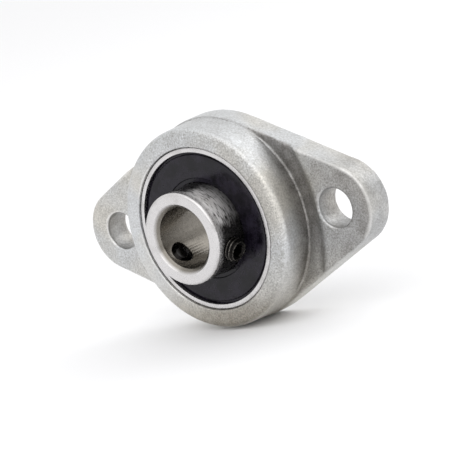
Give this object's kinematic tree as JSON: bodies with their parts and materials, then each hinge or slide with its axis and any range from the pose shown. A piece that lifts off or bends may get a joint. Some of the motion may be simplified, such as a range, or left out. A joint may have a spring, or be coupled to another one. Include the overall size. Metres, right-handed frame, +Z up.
{
  "type": "flanged bearing",
  "caption": "Two-bolt flanged bearing: die-cast housing with a sealed self-aligning ball bearing insert, its collar clamped to a shaft by set screws.",
  "frame": {"origin": "on the bore axis, in the plane of the flange's mounting face", "axes": "+X along the line of the two bolt holes, -Y along the bore towards the collar at the front, +Z up"},
  "size_m": [0.048, 0.0121, 0.0272],
  "materials": {
    "zinc_die_casting": "tumbled satin",
    "ground_bearing_steel": "ground",
    "nitrile_rubber": "moulded satin",
    "pressed_steel": "pressed",
    "polished_ball_steel": "polished",
    "black_oxide_steel": "black oxide"
  },
  "bodies": {
    "housing": {"housing": "zinc_die_casting"},
    "insert": {"outer_ring": "ground_bearing_steel", "front_seal": "nitrile_rubber", "rear_seal": "nitrile_rubber"},
    "inner": {"inner_ring": "ground_bearing_steel"},
    "cage": {"cage_front": "pressed_steel", "cage_rear": "pressed_steel", "cage_rivet_1": "pressed_steel", "cage_rivet_2": "pressed_steel", "cage_rivet_3": "pressed_steel", "cage_rivet_4": "pressed_steel", "cage_rivet_5": "pressed_steel", "cage_rivet_6": "pressed_steel", "cage_rivet_7": "pressed_steel"},
    "ball_1": {"ball_1": "polished_ball_steel"},
    "ball_2": {"ball_2": "polished_ball_steel"},
    "ball_3": {"ball_3": "polished_ball_steel"},
    "ball_4": {"ball_4": "polished_ball_steel"},
    "ball_5": {"ball_5": "polished_ball_steel"},
    "ball_6": {"ball_6": "polished_ball_steel"},
    "ball_7": {"ball_7": "polished_ball_steel"},
    "screw_1": {"set_screw_1": "black_oxide_steel"},
    "screw_2": {"set_screw_2": "black_oxide_steel"}
  },
  "joints": [
    {"name": "insert_swivel", "type": "hinge", "parent": "housing", "child": "insert", "pos_m": [0, -0.0044, 0], "axis": [1, 0, 0], "range_deg": [-3, 3]},
    {"name": "inner_spin", "type": "hinge", "parent": "insert", "child": "inner", "pos_m": [0, -0.0044, 0], "axis": [0, -1, 0], "continuous": true},
    {"name": "cage_orbit", "type": "hinge", "parent": "insert", "child": "cage", "pos_m": [0, -0.0044, 0], "axis": [0, -1, 0], "continuous": true},
    {"name": "ball_1_roll", "type": "hinge", "parent": "cage", "child": "ball_1", "pos_m": [0.0075, -0.0044, 0], "axis": [0, -1, 0], "continuous": true},
    {"name": "ball_2_roll", "type": "hinge", "parent": "cage", "child": "ball_2", "pos_m": [0.00468, -0.0044, 0.00587], "axis": [0, -1, 0], "continuous": true},
    {"name": "ball_3_roll", "type": "hinge", "parent": "cage", "child": "ball_3", "pos_m": [-0.00167, -0.0044, 0.00732], "axis": [0, -1, 0], "continuous": true},
    {"name": "ball_4_roll", "type": "hinge", "parent": "cage", "child": "ball_4", "pos_m": [-0.00676, -0.0044, 0.00326], "axis": [0, -1, 0], "continuous": true},
    {"name": "ball_5_roll", "type": "hinge", "parent": "cage", "child": "ball_5", "pos_m": [-0.00676, -0.0044, -0.00326], "axis": [0, -1, 0], "continuous": true},
    {"name": "ball_6_roll", "type": "hinge", "parent": "cage", "child": "ball_6", "pos_m": [-0.00167, -0.0044, -0.00732], "axis": [0, -1, 0], "continuous": true},
    {"name": "ball_7_roll", "type": "hinge", "parent": "cage", "child": "ball_7", "pos_m": [0.00468, -0.0044, -0.00587], "axis": [0, -1, 0], "continuous": true},
    {"name": "set_screw_1_travel", "type": "slide", "parent": "inner", "child": "screw_1", "axis": [0.9135, 0, -0.4067], "range_m": [-0.0008, 0.0015]},
    {"name": "set_screw_2_travel", "type": "slide", "parent": "inner", "child": "screw_2", "axis": [-0.809, 0, -0.5878], "range_m": [-0.0008, 0.0015]}
  ],
  "couplings": [
    {"joint": "cage_orbit", "follows": "inner_spin", "ratio": 0.36778},
    {"joint": "ball_1_roll", "follows": "inner_spin", "ratio": -1.7586},
    {"joint": "ball_2_roll", "follows": "inner_spin", "ratio": -1.7586},
    {"joint": "ball_3_roll", "follows": "inner_spin", "ratio": -1.7586},
    {"joint": "ball_4_roll", "follows": "inner_spin", "ratio": -1.7586},
    {"joint": "ball_5_roll", "follows": "inner_spin", "ratio": -1.7586},
    {"joint": "ball_6_roll", "follows": "inner_spin", "ratio": -1.7586},
    {"joint": "ball_7_roll", "follows": "inner_spin", "ratio": -1.7586}
  ]
}
